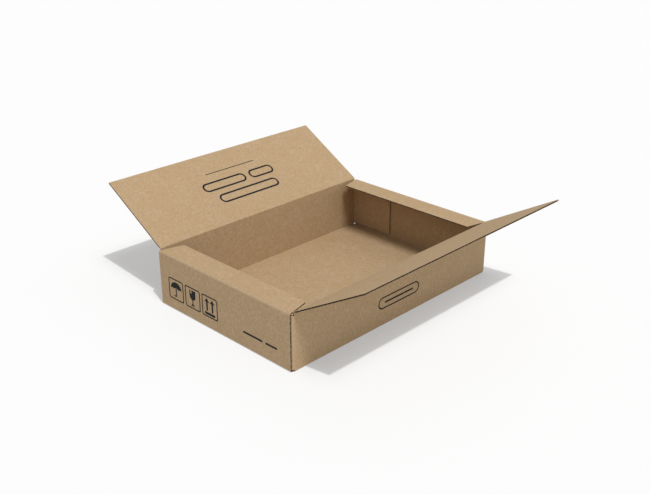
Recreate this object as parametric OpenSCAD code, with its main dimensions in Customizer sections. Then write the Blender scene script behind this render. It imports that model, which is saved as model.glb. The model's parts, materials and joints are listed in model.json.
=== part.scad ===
// One-piece folder box, folded from one cross-shaped blank of fluted board.
// The bottom carries four walls. The front and back walls carry the lid flaps
// and, at each end, a corner tab that lies against the inside of an end wall.
// The end walls carry narrow dust flaps that fold in under the closed lid.
// X runs along the long walls, Y from the front wall to the back, Z up.
// The origin is the middle of the underside.

/* [Box] */
// Outside length, over the end walls
box_l = 300; // [220:1:420]
// Outside width, over the front and back walls
box_w = 200; // [170:1:300]
// Height of the dust flaps' upper face
box_h = 61; // [40:1:120]

/* [Board] */
// Thickness of the board
board_t = 1.5; // [1.2:0.1:2]
// Thickness of the flat paper on each face of the board
liner_t = 0.25; // [0.2:0.05:0.35]
// Thickness of the wavy paper between the two faces
medium_t = 0.2; // [0.1:0.05:0.3]
// Distance from one flute to the next
flute_pitch = 5; // [4:0.5:7]
// Length of a flute's flat crest, where it is glued to the flat paper
crest_l = 1; // [0.6:0.1:1.4]
// Depth to which the flutes are hollow behind a cut edge
mouth_d = 6; // [2:1:12]

/* [Folds] */
// Radius on the inside of every right-angle fold
fold_r = 0.6; // [0.3:0.1:1.5]

/* [Lid flaps] */
// Angle of the open flaps above the horizontal, as the box stands
open_angle = 30; // [-30:5:80]
// Angle below the horizontal to which a flap folds back
fold_back = 35; // [0:5:40]
// Gap between the two flaps over the middle of the closed box
lid_gap = 0.6; // [0.2:0.1:3]
// Clearance under the closed lid, over the dust flaps
lid_seat = 0.2; // [0.1:0.1:1]
// Clearance in the crease between a wall and its flap
crease_gap = 0.2; // [0.1:0.1:0.6]
// Setback of the flap ends from the outside of the end walls
flap_inset = 3; // [1:0.5:8]

/* [Dust flaps] */
// Width of a dust flap, from the outside of its end wall
dust_w = 27; // [15:1:60]
// Distance by which each end of a dust flap runs in towards its free edge
dust_taper = 7; // [2:1:15]

/* [Corner tabs] */
// Length of a corner tab, from the outside of its long wall
tab_l = 60; // [20:1:80]
// Clearance between a tab and the bottom of the box
tab_foot = 2.4; // [1:0.1:5]
// Clearance between a tab and the dust flap over it
tab_head = 0.6; // [0.3:0.1:3]

/* [Hidden] */
$fn = 64;

kraft = [0.745, 0.639, 0.486];
slack = 0.01;
half_l = box_l / 2;
half_w = box_w / 2;
fold_o = fold_r + board_t;

// Ends of the straight stretches between two folds
bottom_x = half_l - fold_o;
bottom_y = half_w - fold_o;
wall_x = half_l - board_t - fold_o;
upright_h = box_h - 2 * fold_o;

// Crease of a lid flap, in the middle of the board
crease_y = half_w - board_t / 2;
crease_z = box_h + lid_seat + board_t / 2;
flap_l = crease_y - lid_gap / 2;
flap_x = half_l - flap_inset;

// Centre of the rounded top of a long wall, which clears the folded-back flap
wall_crown_z = crease_z - (board_t + crease_gap) / cos(fold_back);

// Corner tabs
tab_z0 = board_t + tab_foot;
tab_z1 = box_h - board_t - tab_head;

// Cross-section of one hollow flute
flute_h = board_t - 2 * liner_t;
wave_h = flute_h - medium_t;
wave_run = flute_pitch / 2 - crest_l;
wave_skew = medium_t * sqrt(1 + pow(wave_run / wave_h, 2)) / 2;

function flute_half(y) = flute_pitch / 4 - wave_skew + y * wave_run / wave_h;
function flute_count(length) = floor((length - crest_l) / flute_pitch);
function spread(count, i) = (i - (count - 1) / 2) * flute_pitch;

// One hollow flute under the upper face of the board: it opens at z = 0 and
// runs towards +Z, with the middle of the board at y = 0
module flute(depth) {
    low = medium_t - flute_h / 2;
    high = flute_h / 2;
    translate([0, 0, -slack])
        linear_extrude(height = depth + slack)
            polygon([
                [-flute_half(low), low],
                [flute_half(low), low],
                [flute_half(high), high],
                [-flute_half(high), high]
            ]);
}

// The flutes that open along a cut edge, in two rows half a pitch apart
module flute_row(length) {
    count = flute_count(length);
    for (i = [0 : count - 1])
        translate([spread(count, i), 0, 0])
            flute(mouth_d);
    for (i = [0 : count - 2])
        translate([spread(count - 1, i), 0, 0])
            mirror([0, 1, 0])
                flute(mouth_d);
}

// A right-angle fold along Z: the board turns round the Z axis in the
// quadrant where x and y are positive
module fold(length) {
    rotate_extrude(angle = 90)
        translate([fold_r, 0])
            square([board_t, length]);
}

// Section of such a fold
module fold_section() {
    intersection() {
        difference() {
            circle(fold_o);
            circle(fold_r);
        }
        square(fold_o);
    }
}

// Section of the strip of board that runs from one dust flap down the end
// wall, along the bottom and up to the other dust flap
module strip_section() {
    translate([-bottom_x, 0])
        square([2 * bottom_x, board_t]);
    both_ends() {
        translate([bottom_x, fold_o])
            mirror([0, 1])
                fold_section();
        translate([half_l - board_t, fold_o])
            square([board_t, upright_h]);
        translate([bottom_x, box_h - fold_o])
            fold_section();
        translate([half_l - dust_w, box_h - board_t])
            square([dust_w - fold_o, board_t]);
    }
}

// Piece that comes off the slanting end of the dust flap at +X, +Y
module dust_offcut() {
    slope = dust_taper / dust_w;
    near_x = half_l + 1;
    far_x = half_l - dust_w - 1;
    translate([0, 0, box_h - fold_o])
        linear_extrude(height = fold_o + 1)
            polygon([
                [near_x, bottom_y + slope],
                [near_x, half_w],
                [far_x, half_w],
                [far_x, bottom_y - dust_taper - slope]
            ]);
}

// Bottom, end walls and dust flaps
module strip() {
    difference() {
        translate([0, bottom_y, 0])
            rotate([90, 0, 0])
                linear_extrude(height = 2 * bottom_y)
                    strip_section();
        both_sides() both_ends() dust_offcut();
    }
}

// Front wall, with its bottom fold and the rounded edge under the flap crease
module long_wall() {
    translate([-wall_x, -half_w, fold_o])
        cube([2 * wall_x, board_t, wall_crown_z - fold_o]);
    translate([-wall_x, -crease_y, wall_crown_z])
        rotate([0, 90, 0])
            cylinder(d = board_t, h = 2 * wall_x);
    translate([-wall_x, -bottom_y, fold_o])
        rotate([-90, 0, -90])
            fold(2 * wall_x);
}

// Corner tab at the +X end of the front wall. The upper edge of its fold runs
// down from the crown of the wall to the top of the tab.
module corner_tab() {
    fold_x = half_l - board_t;
    difference() {
        translate([wall_x, -bottom_y, tab_z0])
            rotate([0, 0, -90])
                fold(wall_crown_z - tab_z0);
        translate([0, -bottom_y + slack, 0])
            rotate([90, 0, 0])
                linear_extrude(height = fold_o + 1)
                    polygon([
                        [wall_x, wall_crown_z],
                        [fold_x, tab_z1],
                        [half_l, tab_z1],
                        [half_l, box_h],
                        [wall_x, box_h]
                    ]);
    }
    translate([fold_x - board_t, -bottom_y, tab_z0])
        cube([board_t, tab_l - fold_o, tab_z1 - tab_z0]);
}

// Open flutes in the front upright edge of the end wall at +X
module wall_mouths() {
    translate([half_l - board_t / 2, -bottom_y, box_h / 2])
        rotate([-90, 90, 0])
            flute_row(upright_h);
}

// Open flutes in the front end of the dust flap at +X. They run along Y, and
// each starts where its own place on the slanting end lies.
module dust_mouths() {
    run = dust_w - fold_o;
    count = flute_count(run);
    mid_x = bottom_x - run / 2;
    for (i = [0 : count - 1])
        dust_mouth(mid_x + spread(count, i), false);
    for (i = [0 : count - 2])
        dust_mouth(mid_x + spread(count - 1, i), true);
}

module dust_mouth(x, lower) {
    end_y = bottom_y - dust_taper * (half_l - x) / dust_w;
    reach = flute_pitch * dust_taper / dust_w;
    translate([x, -end_y - reach, box_h - board_t / 2])
        mirror([0, 0, lower ? 1 : 0])
            rotate([-90, 180, 0])
                flute(mouth_d + reach);
}

// Two like copies, one at each end of the box
module both_ends() {
    children();
    mirror([1, 0, 0]) children();
}

// Two like copies, one on each long side of the box
module both_sides() {
    children();
    mirror([0, 1, 0]) children();
}

module tray() {
    color(kraft)
        difference() {
            union() {
                strip();
                both_sides() long_wall();
                both_sides() both_ends() corner_tab();
            }
            both_sides() both_ends() wall_mouths();
            both_sides() both_ends() dust_mouths();
        }
}

// A lid flap that lies flat: its crease is the X axis, and it runs to +Y
module flap() {
    difference() {
        union() {
            translate([-flap_x, 0, -board_t / 2])
                cube([2 * flap_x, flap_l, board_t]);
            translate([-flap_x, 0, 0])
                rotate([0, 90, 0])
                    cylinder(d = board_t, h = 2 * flap_x);
        }
        translate([0, flap_l, 0])
            rotate([90, 0, 0])
                flute_row(2 * flap_x);
    }
}

module back_flap() {
    color(kraft)
        translate([0, crease_y, crease_z])
            rotate([open_angle, 0, 0])
                flap();
}

module front_flap() {
    color(kraft)
        mirror([0, 1, 0])
            translate([0, crease_y, crease_z])
                rotate([open_angle, 0, 0])
                    flap();
}

tray();
front_flap();
back_flap();
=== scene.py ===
import json
from math import acos, cos, pi, radians, sin

import bmesh
import bpy
from mathutils import Matrix, Vector


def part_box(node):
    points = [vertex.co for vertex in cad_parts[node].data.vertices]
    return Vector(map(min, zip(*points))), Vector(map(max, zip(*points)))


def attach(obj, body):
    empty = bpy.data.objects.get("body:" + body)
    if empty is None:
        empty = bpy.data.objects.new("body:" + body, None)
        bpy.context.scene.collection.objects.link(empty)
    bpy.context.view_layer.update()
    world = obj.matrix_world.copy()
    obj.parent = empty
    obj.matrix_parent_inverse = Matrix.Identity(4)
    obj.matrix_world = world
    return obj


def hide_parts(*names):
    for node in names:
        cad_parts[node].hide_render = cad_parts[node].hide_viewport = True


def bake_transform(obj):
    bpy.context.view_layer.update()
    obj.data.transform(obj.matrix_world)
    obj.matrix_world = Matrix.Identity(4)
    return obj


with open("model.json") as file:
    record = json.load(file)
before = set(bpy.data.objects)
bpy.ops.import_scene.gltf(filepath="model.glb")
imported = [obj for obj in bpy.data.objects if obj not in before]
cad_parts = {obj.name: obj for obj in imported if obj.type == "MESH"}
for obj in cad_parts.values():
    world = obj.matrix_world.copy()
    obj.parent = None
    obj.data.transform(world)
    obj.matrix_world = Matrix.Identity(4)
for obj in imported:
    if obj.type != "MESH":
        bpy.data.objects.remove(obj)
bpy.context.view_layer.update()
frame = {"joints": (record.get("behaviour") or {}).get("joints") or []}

# Kraft paper
# Both faces of the board are plain brown paper of recycled fibre. It is matt and cloudy, with short
# fibres in it, and the waves of the paper underneath show through as a faint washboard.
mm = 0.001
kraft_light = (0.465, 0.333, 0.209, 1)
kraft_warm = (0.419, 0.287, 0.151, 1)
kraft_dark = (0.348, 0.238, 0.143, 1)
kraft_pale = (0.531, 0.394, 0.267, 1)
patch_scale = 320
cloud_scale = 60
dark_fibre_scale = 1100
pale_fibre_scale = 900
fibre_squeeze = 0.3
grain_scale = 1900
rubbed_scale = 420
flute_pitch = 5 * mm
washboard_rise = 0.02 * mm
grain_share = 0.3


def link(tree, source, target):
    """Joins an output socket to an input socket."""
    tree.links.new(source, target)


def noise(tree, coordinates, scale, detail, roughness=0.5):
    """Adds a noise texture on these coordinates, with scale in waves per metre."""
    node = tree.nodes.new("ShaderNodeTexNoise")
    node.inputs["Roughness"].default_value = roughness
    node.inputs["Scale"].default_value = scale
    node.inputs["Detail"].default_value = detail
    link(tree, coordinates, node.inputs["Vector"])
    return node.outputs["Fac"]


def ramp(tree, value, low, high, to_low=0.0, to_high=1.0):
    """Spreads the values between low and high over another range, and clamps the rest."""
    node = tree.nodes.new("ShaderNodeMapRange")
    node.inputs["From Min"].default_value = low
    node.inputs["From Max"].default_value = high
    node.inputs["To Min"].default_value = to_low
    node.inputs["To Max"].default_value = to_high
    link(tree, value, node.inputs["Value"])
    return node.outputs["Result"]


def maths(tree, operation, first, second):
    """Adds a maths node. The second operand is a socket or a number."""
    node = tree.nodes.new("ShaderNodeMath")
    node.operation = operation
    link(tree, first, node.inputs[0])
    if isinstance(second, (int, float)):
        node.inputs[1].default_value = second
    else:
        link(tree, second, node.inputs[1])
    return node.outputs[0]


def blend_colours(tree, factor, first, second):
    """Mixes two colours. Each is a socket or a colour."""
    node = tree.nodes.new("ShaderNodeMix")
    node.data_type = "RGBA"
    link(tree, factor, node.inputs["Factor"])
    for name, colour in (("A", first), ("B", second)):
        socket = next(s for s in node.inputs if s.name == name and s.type == "RGBA")
        if isinstance(colour, tuple):
            socket.default_value = colour
        else:
            link(tree, colour, socket)
    return next(s for s in node.outputs if s.type == "RGBA")


def group_inside(group):
    """Gives the group's input and output nodes."""
    return group.nodes.new("NodeGroupInput"), group.nodes.new("NodeGroupOutput")


def fibre_marks(tree, coordinates, scale):
    """Thin marks where the fibres of one kind lie in the paper."""
    return ramp(tree, noise(tree, coordinates, scale, 2), 0.56, 0.70, 0.0, 0.8)


def make_fibre_clouds():
    """The cloudy shade of recycled paper and the short fibres that lie in it."""
    group = bpy.data.node_groups.new("fibre_clouds", "ShaderNodeTree")
    face = group.interface
    face.new_socket("Paper", in_out="INPUT", socket_type="NodeSocketColor")
    face.new_socket("Warm patch", in_out="INPUT", socket_type="NodeSocketColor")
    face.new_socket("Dark fibre", in_out="INPUT", socket_type="NodeSocketColor")
    face.new_socket("Pale fibre", in_out="INPUT", socket_type="NodeSocketColor")
    face.new_socket("Colour", in_out="OUTPUT", socket_type="NodeSocketColor")
    face.new_socket("Height", in_out="OUTPUT", socket_type="NodeSocketFloat")
    face.new_socket("Roughness", in_out="OUTPUT", socket_type="NodeSocketFloat")
    given, result = group_inside(group)
    place = group.nodes.new("ShaderNodeTexCoord").outputs["Object"]
    along = group.nodes.new("ShaderNodeMapping")
    along.inputs["Scale"].default_value = (1, fibre_squeeze, 1)
    link(group, place, along.inputs["Vector"])
    across = group.nodes.new("ShaderNodeMapping")
    across.inputs["Rotation"].default_value = (radians(70), radians(25), radians(58))
    across.inputs["Scale"].default_value = (1, 1, fibre_squeeze)
    link(group, place, across.inputs["Vector"])
    patches = ramp(group, noise(group, place, patch_scale, 3, 0.65), 0.42, 0.58)
    clouds = ramp(group, noise(group, place, cloud_scale, 3), 0.35, 0.65, 0.0, 0.6)
    colour = blend_colours(group, patches, given.outputs["Paper"], given.outputs["Warm patch"])
    colour = blend_colours(group, clouds, colour, given.outputs["Warm patch"])
    dark = fibre_marks(group, along.outputs["Vector"], dark_fibre_scale)
    pale = fibre_marks(group, across.outputs["Vector"], pale_fibre_scale)
    colour = blend_colours(group, dark, colour, given.outputs["Dark fibre"])
    colour = blend_colours(group, pale, colour, given.outputs["Pale fibre"])
    grain = noise(group, place, grain_scale, 2)
    fibre_height = maths(group, "SUBTRACT", pale, dark)
    link(group, colour, result.inputs["Colour"])
    link(group, maths(group, "ADD", fibre_height, grain), result.inputs["Height"])
    link(group, ramp(group, grain, 0.3, 0.7, 0.82, 0.95), result.inputs["Roughness"])
    return group


def make_washboard():
    """The waves under the paper, as a height over the surface."""
    group = bpy.data.node_groups.new("washboard", "ShaderNodeTree")
    group.interface.new_socket("Height", in_out="OUTPUT", socket_type="NodeSocketFloat")
    result = group.nodes.new("NodeGroupOutput")
    across = group.nodes.new("ShaderNodeAttribute")
    across.attribute_name = "across_flutes"
    turns = maths(group, "MULTIPLY", across.outputs["Fac"], 2 * pi / flute_pitch)
    link(group, maths(group, "SINE", turns, 0), result.inputs["Height"])
    return group


def make_fold_wear():
    """The paper rubbed pale and a little cracked where it is bent round a fold."""
    group = bpy.data.node_groups.new("fold_wear", "ShaderNodeTree")
    face = group.interface
    face.new_socket("Colour", in_out="INPUT", socket_type="NodeSocketColor")
    face.new_socket("Rubbed", in_out="INPUT", socket_type="NodeSocketColor")
    face.new_socket("Colour", in_out="OUTPUT", socket_type="NodeSocketColor")
    given, result = group_inside(group)
    fold = group.nodes.new("ShaderNodeAttribute")
    fold.attribute_name = "at_fold"
    place = group.nodes.new("ShaderNodeTexCoord").outputs["Object"]
    spots = ramp(group, noise(group, place, rubbed_scale, 3), 0.42, 0.62, 0.1, 0.55)
    rubbed = maths(group, "MULTIPLY", fold.outputs["Fac"], spots)
    colour = blend_colours(group, rubbed, given.outputs["Colour"], given.outputs["Rubbed"])
    link(group, colour, result.inputs["Colour"])
    return group


fibre_clouds = make_fibre_clouds()
washboard = make_washboard()
fold_wear = make_fold_wear()


def use_group(tree, group, **given):
    """Places a node group and sets its inputs to colours or joins them to sockets."""
    node = tree.nodes.new("ShaderNodeGroup")
    node.node_tree = group
    for name, value in given.items():
        socket = node.inputs[name.replace("_", " ")]
        if isinstance(value, bpy.types.NodeSocket):
            link(tree, value, socket)
        else:
            socket.default_value = value
    return node


def use_fibre_clouds(tree, paper, warm, dark, pale):
    """Places the group of paper fibre with its four colours."""
    return use_group(
        tree, fibre_clouds, Paper=paper, Warm_patch=warm, Dark_fibre=dark, Pale_fibre=pale
    )


def new_material(name):
    """Starts a material and gives it, its node tree and its shader."""
    material = bpy.data.materials.new(name)
    material.use_nodes = True
    shader = material.node_tree.nodes["Principled BSDF"]
    shader.inputs["Specular IOR Level"].default_value = 0.2
    return material, material.node_tree, shader


def bump(tree, shader, height, distance):
    """Raises the surface by this height times the distance."""
    node = tree.nodes.new("ShaderNodeBump")
    node.inputs["Distance"].default_value = distance
    link(tree, height, node.inputs["Height"])
    link(tree, node.outputs["Normal"], shader.inputs["Normal"])


kraft, tree, shader = new_material("kraft_paper")
fibres = use_fibre_clouds(tree, kraft_light, kraft_warm, kraft_dark, kraft_pale)
worn = use_group(tree, fold_wear, Colour=fibres.outputs["Colour"], Rubbed=kraft_pale)
under = use_group(tree, washboard)
link(tree, worn.outputs["Colour"], shader.inputs["Base Color"])
link(tree, fibres.outputs["Roughness"], shader.inputs["Roughness"])
grain = maths(tree, "MULTIPLY", fibres.outputs["Height"], grain_share)
bump(tree, shader, maths(tree, "ADD", grain, under.outputs["Height"]), washboard_rise)

# Cut edges and fluting
# Where the blank was die-cut, the torn fibre of the papers shows, rougher than their faces and painted
# darker, partly as painted shade along the thin edges. The wavy paper between them is painted
# near-black, on its cut edge as well, as painted shade of the hollows between the papers.
edge_brown = (0.340, 0.241, 0.148, 1)
edge_dark = (0.230, 0.158, 0.095, 1)
flute_painted_shade = (0.018, 0.012, 0.007, 1)
flute_painted_shade_dark = (0.010, 0.007, 0.004, 1)


def fibre_material(name, paper, dark, pale, relief):
    """A material of bare paper fibre, without the washboard and the folds."""
    material, tree, shader = new_material(name)
    fibre = use_fibre_clouds(tree, paper, dark, dark, pale)
    link(tree, fibre.outputs["Colour"], shader.inputs["Base Color"])
    link(tree, fibre.outputs["Roughness"], shader.inputs["Roughness"])
    bump(tree, shader, fibre.outputs["Height"], relief)
    return material


# The cut edges are painted darker than the faces, partly for the torn fibre and partly as painted shade
# along the edge.
cut_edge = fibre_material("cut_edge", edge_brown, edge_dark, kraft_light, 0.04 * mm)
# Painted shade: the fluting is near-black so that the hollows between the papers look dark.
fluting_painted_shade = fibre_material("fluting_painted_shade", flute_painted_shade, flute_painted_shade_dark, edge_dark, 0.02 * mm)

# Bottom, end walls and dust flaps
# One strip of the blank runs from one dust flap down an end wall, along the bottom and up to the
# other dust flap. Its two papers lie 1.5 mm apart over all and bend round together at each score.
board_t = 1.5 * mm
half_t = board_t / 2
paper_t = 0.25 * mm
fold_r = 0.6 * mm
fold_o = fold_r + board_t
fold_steps = 12
half_l, half_w, box_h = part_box("tray")[1]
bottom_x = half_l - fold_o
bottom_y = half_w - fold_o
upright_h = box_h - 2 * fold_o
dust_w = 27 * mm
dust_run = dust_w - fold_o
dust_taper = 7 * mm
outer_depth = paper_t / 2
inner_depth = board_t - paper_t / 2
hair = 0.01 * mm


def verts_in(geom):
    """The vertices among what an operator made."""
    return [v for v in geom if isinstance(v, bmesh.types.BMVert)]


class Section:
    """The section of a sheet of paper, drawn as a chain of edges and swept into the sheet."""

    def __init__(self, start):
        self.bm = bmesh.new()
        self.across = self.bm.verts.layers.float.new("across_flutes")
        self.fold = self.bm.verts.layers.float.new("at_fold")
        self.end = self.bm.verts.new(start)

    def step(self, length):
        """Carries the chain on by one vertex, still at its old place."""
        last = self.end
        self.end = bmesh.ops.extrude_vert_indiv(self.bm, verts=[last])["verts"][0]
        self.end[self.across] = last[self.across] + length
        self.end[self.fold] = 0

    def straight(self, move):
        """Carries the chain on in a straight line."""
        self.step(move.length)
        bmesh.ops.translate(self.bm, verts=[self.end], vec=move)

    def bend(self, centre, axis, angle=90):
        """Carries the chain on round a fold, by an angle in degrees."""
        turn = radians(angle / fold_steps)
        matrix = Matrix.Rotation(turn, 3, axis)
        radius = (self.end.co - centre).length
        for k in range(1, fold_steps + 1):
            self.step(abs(turn) * radius)
            bmesh.ops.rotate(self.bm, verts=[self.end], cent=centre, matrix=matrix)
            self.end[self.fold] = sin(pi * k / fold_steps)

    def sweep(self, move):
        """Draws the whole chain out into a sheet."""
        drawn = bmesh.ops.extrude_edge_only(self.bm, edges=self.bm.edges[:])["geom"]
        bmesh.ops.translate(self.bm, verts=verts_in(drawn), vec=move)


def strip_section(depth, stretch):
    """Draws the strip at this depth under its outer face. stretch draws each straight part."""
    end_y = -bottom_y
    section = Section((dust_w - half_l, end_y, box_h - depth))
    stretch(section, Vector((-dust_run, 0, 0)))
    section.bend(Vector((-bottom_x, end_y, box_h - fold_o)), "Y", -90)
    stretch(section, Vector((0, 0, -upright_h)))
    section.bend(Vector((-bottom_x, end_y, fold_o)), "Y", -90)
    stretch(section, Vector((2 * bottom_x, 0, 0)))
    section.bend(Vector((bottom_x, end_y, fold_o)), "Y", -90)
    stretch(section, Vector((0, 0, upright_h)))
    section.bend(Vector((bottom_x, end_y, box_h - fold_o)), "Y", -90)
    stretch(section, Vector((-dust_run, 0, 0)))
    section.sweep(Vector((0, 2 * bottom_y, 0)))
    return section


def taper_dust_flaps(bm):
    """Runs the ends of the dust flaps in towards their free edges."""
    for v in bm.verts:
        if v.co.z > box_h - fold_o + hair:
            v.co.y *= 1 - dust_taper / dust_w * (half_l - abs(v.co.x)) / bottom_y


def new_object(name, data):
    """Puts a mesh, lamp or camera into the scene."""
    made = bpy.data.objects.new(name, data)
    bpy.context.scene.collection.objects.link(made)
    return made


def mesh_object(name, bm, *materials):
    """Puts a finished mesh into the scene, with its materials."""
    mesh = bpy.data.meshes.new(name)
    bm.to_mesh(mesh)
    bm.free()
    for material in materials:
        mesh.materials.append(material)
    return new_object(name, mesh)


def paper_object(name, sections, thickness, paper, rim):
    """Joins swept sections into one object and gives the paper its thickness and its cut edges."""
    joined = bmesh.new()
    for section in sections:
        sheet = bpy.data.meshes.new("sheet")
        section.bm.to_mesh(sheet)
        section.bm.free()
        joined.from_mesh(sheet)
        bpy.data.meshes.remove(sheet)
    piece = mesh_object(name, joined, paper, rim)
    solid = piece.modifiers.new("thickness", "SOLIDIFY")
    solid.thickness = thickness
    solid.offset = 0
    solid.use_even_offset = True
    solid.material_offset_rim = 1
    return piece


sections = [strip_section(depth, Section.straight) for depth in (outer_depth, inner_depth)]
for section in sections:
    taper_dust_flaps(section.bm)
strip_paper = paper_object("end_walls_paper", sections, paper_t, kraft, cut_edge)
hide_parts("tray")
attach(strip_paper, "tray")

# Long walls and corner tabs
# The front and back walls stand up from the bottom, and at each end a tab turns in and lies against
# the inside of an end wall. The tab is cut short above and below, so that the walls fold over it, and
# its own fold ends just above the bottom, which leaves a pinhole in each lower corner of the box.
hinge_y, hinge_z = frame["joints"][1]["pos_m"][1:]
crease_reach = 2.5 * mm
wall_x = half_l - board_t - fold_o
wall_top = hinge_z - crease_reach
tab_l = 60 * mm
tab_foot = 2.4 * mm
tab_head = 0.6 * mm
tab_low = board_t + tab_foot
tab_high = box_h - board_t - tab_head
pinhole_h = 0.9 * mm
pinhole_top = board_t + pinhole_h


def wall_section(depth, stretch):
    """Draws the front wall with its two tabs, seen from above, and sweeps it up the tabs' height."""
    tab_x = half_l - board_t - depth
    tab_run = tab_l - fold_o
    section = Section((-tab_x, tab_run - bottom_y, tab_low))
    stretch(section, Vector((0, -tab_run, 0)))
    section.bend(Vector((-wall_x, -bottom_y, tab_low)), "Z")
    stretch(section, Vector((2 * wall_x, 0, 0)))
    section.bend(Vector((wall_x, -bottom_y, tab_low)), "Z")
    stretch(section, Vector((0, tab_run, 0)))
    section.sweep(Vector((0, 0, tab_high - tab_low)))
    return section


def wall_edges(bm, level, reach):
    """The edges of the wall at this level, out to this distance from the middle."""
    return [
        edge
        for edge in bm.edges
        if all(
            abs(v.co.x) < reach + hair and v.co.y < hair - bottom_y and abs(v.co.z - level) < hair
            for v in edge.verts
        )
    ]


def draw_out(bm, edges):
    """Extrudes edges and gives the new edges and the new vertices."""
    made = bmesh.ops.extrude_edge_only(bm, edges=edges)["geom"]
    far_edges = [
        e for e in made if isinstance(e, bmesh.types.BMEdge) and all(v in made for v in e.verts)
    ]
    return far_edges, verts_in(made)


def reach_bottom_and_crease(section):
    """Carries the wall up to the crease of its flap, and down and round into the bottom."""
    bm = section.bm
    edges, verts = draw_out(bm, wall_edges(bm, tab_high, wall_x))
    bmesh.ops.translate(bm, verts=verts, vec=(0, 0, wall_top - tab_high))
    edges, verts = draw_out(bm, wall_edges(bm, tab_low, half_l))
    bmesh.ops.translate(bm, verts=verts, vec=(0, 0, pinhole_top - tab_low))
    edges, verts = draw_out(bm, wall_edges(bm, pinhole_top, wall_x))
    bmesh.ops.translate(bm, verts=verts, vec=(0, 0, fold_o - pinhole_top))
    turn = Matrix.Rotation(pi / 2 / fold_steps, 3, "X")
    for k in range(1, fold_steps + 1):
        edges, verts = draw_out(bm, edges)
        bmesh.ops.rotate(bm, verts=verts, cent=(0, -bottom_y, fold_o), matrix=turn)
        for v in verts:
            v[section.fold] = sin(pi * k / fold_steps)


def both_sides(section):
    """Copies the front wall to the back."""
    whole = section.bm.faces[:] + section.bm.edges[:] + section.bm.verts[:]
    made = bmesh.ops.mirror(section.bm, geom=whole, axis="Y")["geom"]
    mirrored = [face for face in made if isinstance(face, bmesh.types.BMFace)]
    bmesh.ops.reverse_faces(section.bm, faces=mirrored)


sections = [wall_section(depth, Section.straight) for depth in (outer_depth, inner_depth)]
for section in sections:
    reach_bottom_and_crease(section)
    both_sides(section)
wall_paper = paper_object("long_walls_paper", sections, paper_t, kraft, cut_edge)
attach(wall_paper, "tray")

# Fluting of the tray
# A thinner paper runs in waves between the two faces and is glued to both. It shows where the blank
# was cut across it, along the upright edges of the end walls and the ends of the dust flaps.
flute_t = 0.2 * mm
wave_rise = (board_t - 2 * paper_t - flute_t) / 2
wave_steps = 8


def waves_towards(inwards):
    """Gives a way to draw a straight part in waves. inwards gives the direction of its inner face."""

    def stretch(section, move):
        count = int(move.length / flute_pitch)
        way = move.normalized()
        rise = inwards(way) * wave_rise
        margin = way * (move.length - count * flute_pitch) / 2
        section.straight(margin)
        height = 0
        for k in range(1, count * wave_steps + 1):
            higher = sin(2 * pi * k / wave_steps)
            section.straight(way * flute_pitch / wave_steps + rise * (higher - height))
            height = higher
        section.straight(margin)

    return stretch


strip_waves = strip_section(half_t, waves_towards(lambda way: way.cross(Vector((0, 1, 0)))))
taper_dust_flaps(strip_waves.bm)
wall_waves = wall_section(half_t, waves_towards(lambda way: way.cross(Vector((0, 0, 1)))))
both_sides(wall_waves)
waves = [strip_waves, wall_waves]
# The fluting's near-black colour is painted shade of the hollows, not the colour of the paper.
tray_fluting = paper_object("tray_fluting", waves, flute_t, fluting_painted_shade, fluting_painted_shade)
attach(tray_fluting, "tray")

# Lid flaps
# A lid flap hangs on the top of each long wall and stands open, 30 degrees above level. It is cut a
# little short at both ends, and its free edge shows the open flutes, which run down from the edge.
open_angle = radians(30)
opened = Matrix.Rotation(open_angle, 4, "X")
flap_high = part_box("back_flap")[1]
flap_x = flap_high.x
flap_l = (flap_high.y - hinge_y - half_t * sin(open_angle)) / cos(open_angle)
face_height = (board_t - paper_t) / 2


def at_hinge(side):
    """The way to a long wall's hinge from the X axis, where +Y is away from the box."""
    placed = Matrix.Translation((0, hinge_y, hinge_z))
    if side == "front":
        placed = Matrix.Rotation(pi, 4, "Z") @ placed
    return placed


def flap_section(side, height, stretch):
    """Draws a sheet of a flap at this height over the middle of the board."""
    section = Section((-flap_x, crease_reach, height))
    stretch(section, Vector((2 * flap_x, 0, 0)))
    section.sweep(Vector((0, flap_l - crease_reach, 0)))
    section.bm.transform(at_hinge(side) @ opened)
    return section


flap_waves = waves_towards(lambda way: Vector((0, 0, 1)))
for side in ("front", "back"):
    body = side + "_flap"
    sections = [flap_section(side, height, Section.straight) for height in (-face_height, face_height)]
    flap_paper = paper_object(body + "_paper", sections, paper_t, kraft, cut_edge)
    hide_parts(body)
    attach(flap_paper, body)
    waves = [flap_section(side, 0, flap_waves)]
    # The flap's fluting is painted near-black too, as painted shade of the open flutes.
    flap_fluting = paper_object(body + "_fluting", waves, flute_t, fluting_painted_shade, fluting_painted_shade)
    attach(flap_fluting, body)

# Creases of the lid flaps
# At the crease the board is pressed flat, so that both papers run on from the wall into the flap and
# bend there as one. A round groove is pressed in outside, which becomes the round edge of the closed
# box, and the inside stays round.
wall_way = Vector((0, 0, -1))
flap_way = Vector((0, cos(open_angle), sin(open_angle)))
flap_up = Vector((0, -sin(open_angle), cos(open_angle)))
half_bend = (pi / 2 - open_angle) / 2
outwards = Vector((0, cos(half_bend), -sin(half_bend)))
round_reach = 0.9 * mm
groove_r = 1.3 * mm
groove_floor = 0.7 * mm
groove_centre = groove_r + groove_floor
groove_turn = half_bend + acos((groove_centre * cos(half_bend) - half_t) / groove_r)


def fill_chain(bm, points):
    """Joins points into a closed chain and fills it with one face."""
    verts = [bm.verts.new(point) for point in points]
    edges = [bm.edges.new(pair) for pair in zip(verts, verts[1:] + verts[:1])]
    return bmesh.ops.edgeloop_fill(bm, edges=edges)["faces"]


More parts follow.
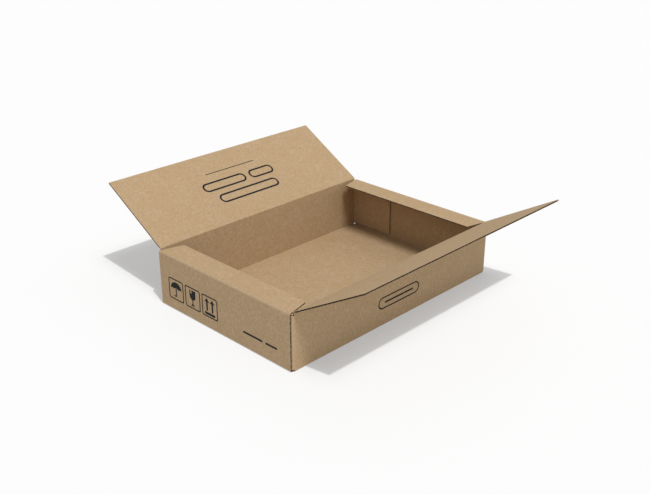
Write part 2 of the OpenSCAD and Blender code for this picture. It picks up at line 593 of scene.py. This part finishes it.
def crease_outline(bm):
    """Draws the section of the crease round its hinge, from the wall's inner face to its outer face."""
    inner = Vector((0, -half_t, 0))
    chain = [wall_way * crease_reach + inner, wall_way * round_reach + inner]
    for k in range(fold_steps + 1):
        chain.append(Matrix.Rotation(-2 * half_bend * k / fold_steps, 3, "X") @ inner)
    chain += [
        flap_way * round_reach + flap_up * half_t,
        flap_way * crease_reach + flap_up * half_t,
        flap_way * crease_reach - flap_up * half_t,
    ]
    for k in range(fold_steps + 1):
        turned = Matrix.Rotation(groove_turn * (2 * k / fold_steps - 1), 3, "X")
        chain.append(outwards * groove_centre - turned @ outwards * groove_r)
    chain.append(wall_way * crease_reach - inner)
    return fill_chain(bm, chain)


def crease_strip():
    """Sweeps the section along the fold. The wall's side is as short as the wall between its tabs."""
    bm = bmesh.new()
    fold = bm.verts.layers.float.new("at_fold")
    face = crease_outline(bm)
    bmesh.ops.translate(bm, verts=bm.verts[:], vec=(-flap_x, 0, 0))
    drawn = bmesh.ops.extrude_face_region(bm, geom=face)["geom"]
    bmesh.ops.translate(bm, verts=verts_in(drawn), vec=(2 * flap_x, 0, 0))
    bmesh.ops.recalc_face_normals(bm, faces=bm.faces[:])
    for v in bm.verts:
        if v.co.yz.length < crease_reach and v.co.dot(outwards) > 0:
            v[fold] = 1
        if v.co.z < 0:
            v.co.x *= wall_x / flap_x
    for f in bm.faces:
        f.material_index = 1 if abs(f.normal.x) > 0.5 else 0
    return bm


for side in ("front", "back"):
    placed = at_hinge(side)
    bm = crease_strip()
    bm.transform(placed)
    crease = mesh_object(side + "_crease", bm, kraft, cut_edge)
    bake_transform(crease)

# Printed marks
# The marks are printed straight on the paper in one dark ink, before the blank is cut: three plain
# handling signs and two bars on an end wall, a rounded frame round a bar on the front wall, and a
# bar and three rounded frames on the back lid flap.
ink_dark = (0.016, 0.016, 0.018, 1)
ink_thin = (0.045, 0.038, 0.032, 1)
ink_t = 0.06 * mm

ink = fibre_material("black_ink", ink_dark, ink_dark, ink_thin, 0.01 * mm)


def outline(bm, chain):
    """Fills a closed chain of points with ink."""
    return fill_chain(bm, [(x, y, 0) for x, y in chain])


def arc(centre, radius, first, last, steps=8, squeeze=1.0):
    """Points on an arc, from the first angle to the last, in degrees."""
    angles = [radians(first + (last - first) * k / steps) for k in range(steps + 1)]
    return [(centre[0] + radius * cos(a), centre[1] + radius * squeeze * sin(a)) for a in angles]


def plate(bm, centre, width, height, corner):
    """A rounded plate of ink."""
    x, y = centre
    w, h = width / 2 - corner, height / 2 - corner
    chain = arc((x + w, y + h), corner, 0, 90) + arc((x - w, y + h), corner, 90, 180)
    chain += arc((x - w, y - h), corner, 180, 270) + arc((x + w, y - h), corner, 270, 360)
    return outline(bm, chain)


def frame_line(bm, centre, width, height, corner, stroke):
    """A rounded frame, drawn as a line of ink."""
    face = plate(bm, centre, width, height, corner)
    bm.normal_update()
    bmesh.ops.inset_region(bm, faces=face, thickness=stroke, use_even_offset=True, use_boundary=True)
    bmesh.ops.delete(bm, geom=face, context="FACES")


def umbrella(bm, x, z):
    """An umbrella, for keeping dry. x and z are the middle of its sign."""
    span = 8.9 * mm
    brim = z + 0.2 * mm
    rib = 3.8 * mm
    chain = arc((x, brim), span, 0, 180, 20, 0.93)
    for left, right in ((-span, -rib), (-rib, rib), (rib, span)):
        middle = (x + (left + right) / 2, brim)
        chain += arc(middle, (right - left) / 2, 180, 0, 6, 0.36)[1:]
    outline(bm, chain[:-1])
    half_shaft = 0.8 * mm
    hook = 2.2 * mm
    foot = z - 6.4 * mm
    shaft_top = brim + 1.0 * mm
    chain = [(x + half_shaft, shaft_top), (x + half_shaft, foot)]
    chain += arc((x - hook + half_shaft, foot), hook, 0, -180, 10)
    chain += arc((x - hook + half_shaft, foot), hook - 2 * half_shaft, -180, 0, 10)
    chain.append((x - half_shaft, shaft_top))
    outline(bm, chain)


def goblet(bm, x, z):
    """A cracked goblet, for fragile goods. x and z are the middle of its sign."""
    rim = z + 8.8 * mm
    half_rim = 5.0 * mm
    bowl = (x, z + 2.5 * mm)
    bowl_r = 4.7 * mm
    half_stem = 0.8 * mm
    stem_foot = z - 6.4 * mm
    half_base = 3.4 * mm
    base = z - 8.9 * mm
    chain = [(x + half_rim, rim)]
    chain += arc(bowl, bowl_r, -5, -82, 8)
    chain += [(x + half_stem, stem_foot), (x + half_base, base)]
    chain += [(x - half_base, base), (x - half_stem, stem_foot)]
    chain += arc(bowl, bowl_r, -98, -175, 8)
    chain.append((x - half_rim, rim))
    crack = ((-4.1, 8.8), (-2.7, 6.6), (-3.5, 5.5), (-0.6, 4.3), (-1.7, 6.0), (-0.9, 6.9), (-2.4, 8.8))
    chain += [(x + across * mm, z + up * mm) for across, up in crack]
    outline(bm, chain)


def arrow(bm, x, foot, tip):
    """One arrow that points up."""
    half_shaft = 1.25 * mm
    half_head = 3.7 * mm
    head = tip - 4.6 * mm
    half = ((half_shaft, foot), (half_shaft, head), (half_head, head))
    chain = [(x + across, up) for across, up in half]
    chain.append((x, tip))
    chain += [(x - across, up) for across, up in reversed(half)]
    outline(bm, chain)


def print_object(name, bm, placed, body):
    """Gives the ink its thickness, half of it in the paper, and lays it on its wall."""
    drawn = bmesh.ops.extrude_face_region(bm, geom=bm.faces[:])["geom"]
    bmesh.ops.translate(bm, verts=verts_in(drawn), vec=(0, 0, ink_t))
    bmesh.ops.recalc_face_normals(bm, faces=bm.faces[:])
    bmesh.ops.translate(bm, verts=bm.verts[:], vec=(0, 0, -ink_t / 2))
    bm.transform(placed)
    piece = mesh_object(name, bm, ink)
    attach(piece, body)


sign_w = 24.4 * mm
sign_h = 24.0 * mm
sign_corner = 2.6 * mm
sign_pitch = 27.15 * mm
sign_z = 24.75 * mm
middle_sign = -45.05 * mm
left_sign = middle_sign - sign_pitch
right_sign = middle_sign + sign_pitch
line_w = 1.4 * mm
arrow_x = 4.15 * mm
ground_w = 16 * mm
ground_h = 2.9 * mm
bar_z = 17.5 * mm
bar_h = 2.2 * mm
bar_corner = 1.0 * mm
bm = bmesh.new()
for x in (left_sign, middle_sign, right_sign):
    frame_line(bm, (x, sign_z), sign_w, sign_h, sign_corner, line_w)
umbrella(bm, left_sign, sign_z)
goblet(bm, middle_sign, sign_z)
for x in (-arrow_x, arrow_x):
    arrow(bm, right_sign + x, sign_z - 5.2 * mm, sign_z + 9.1 * mm)
plate(bm, (right_sign, sign_z - 8.0 * mm), ground_w, ground_h, 0.6 * mm)
for x, bar_w in ((46 * mm, 28 * mm), (72 * mm, 16 * mm)):
    plate(bm, (x, bar_z), bar_w, bar_h, bar_corner)
on_left_wall = Matrix(((0, 0, -1, -half_l), (-1, 0, 0, 0), (0, 1, 0, 0), (0, 0, 0, 1)))
print_object("handling_signs", bm, on_left_wall, "tray")

pill_w = 63.2 * mm
pill_h = 13.4 * mm
pill_z = 25.9 * mm
bm = bmesh.new()
frame_line(bm, (0, pill_z), pill_w, pill_h, pill_h / 2 - hair, 1.1 * line_w)
plate(bm, (0, pill_z), 44 * mm, 2.0 * mm, 0.9 * mm)
on_front_wall = Matrix(((1, 0, 0, 0), (0, 0, -1, -half_w), (0, 1, 0, 0), (0, 0, 0, 1)))
print_object("front_label", bm, on_front_wall, "tray")

lid_bar_y = 71 * mm
lid_row_1 = 53 * mm
lid_row_2 = 33 * mm
lid_pill_h = 13 * mm
lid_pill_corner = 6.4 * mm
lid_line_w = 2.3 * mm
bm = bmesh.new()
plate(bm, (0, lid_bar_y), 72 * mm, 1.0 * mm, 0.4 * mm)
for x, y, lid_pill_w in (
    (-21 * mm, lid_row_1, 62 * mm),
    (34 * mm, lid_row_1, 36 * mm),
    (1.5 * mm, lid_row_2, 87 * mm),
):
    frame_line(bm, (x, y), lid_pill_w, lid_pill_h, lid_pill_corner, lid_line_w)
bmesh.ops.translate(bm, verts=bm.verts[:], vec=(0, 0, half_t))
print_object("lid_label", bm, at_hinge("back") @ opened, "back_flap")

# Floor, light and camera
# The box stands on a plain white floor in even studio light that is stronger from the right. A soft
# lamp high in front lights all of it, and a hard one lights the floor alone, for the shadow's edge.
floor_half = 6.0
floor_paint = 0.228
floor_glow = 0.389
sky_left = 0.45
sky_right = 1.04


def grey(level):
    """A neutral colour."""
    return (level, level, level, 1)


white, tree, shader = new_material("floor_white")
shader.inputs["Base Color"].default_value = grey(floor_paint)
shader.inputs["Emission Color"].default_value = grey(floor_glow)
shader.inputs["Emission Strength"].default_value = 1
shader.inputs["Roughness"].default_value = 1
shader.inputs["Specular IOR Level"].default_value = 0
bm = bmesh.new()
bmesh.ops.create_grid(bm, x_segments=1, y_segments=1, size=floor_half)
floor = mesh_object("floor", bm, white)

world = bpy.data.worlds.new("studio")
bpy.context.scene.world = world
world.use_nodes = True
tree = world.node_tree
seen = tree.nodes.new("ShaderNodeLightPath").outputs["Is Camera Ray"]
ray = tree.nodes.new("ShaderNodeSeparateXYZ")
link(tree, tree.nodes.new("ShaderNodeTexCoord").outputs["Generated"], ray.inputs["Vector"])
sky = ramp(tree, ray.outputs["X"], 0, 1, sky_left, sky_right)
backdrop = tree.nodes["Background"]
link(tree, maths(tree, "MAXIMUM", sky, seen), backdrop.inputs["Strength"])
backdrop.inputs["Color"].default_value = grey(1)


def place_lamp(name, energy, angle, way):
    """Adds one far lamp that shines this way."""
    lamp = bpy.data.lights.new(name, "SUN")
    lamp.energy = energy
    lamp.angle = radians(angle)
    lamp_object = new_object(name, lamp)
    lamp_object.rotation_euler = Vector(way).to_track_quat("-Z", "Y").to_euler()
    return lamp_object


place_lamp("soft_lamp", 2.03, 18, (0.105, 0.466, -0.878))
floor_lamp = place_lamp("floor_lamp", 5.25, 1.5, (0.147, 0.466, -0.872))
floor_only = bpy.data.collections.new("floor_only")
floor_only.objects.link(floor)
floor_lamp.light_linking.receiver_collection = floor_only

camera = bpy.data.cameras.new("camera")
camera.sensor_width = 36
camera.lens = 51.27
camera_object = new_object("camera", camera)
camera_object.location = (-0.64705, -0.63209, 0.45729)
camera_object.rotation_euler = (1.14554, 0.00083, -0.79324)
bpy.context.scene.camera = camera_object
bpy.context.scene.view_settings.view_transform = "Standard"
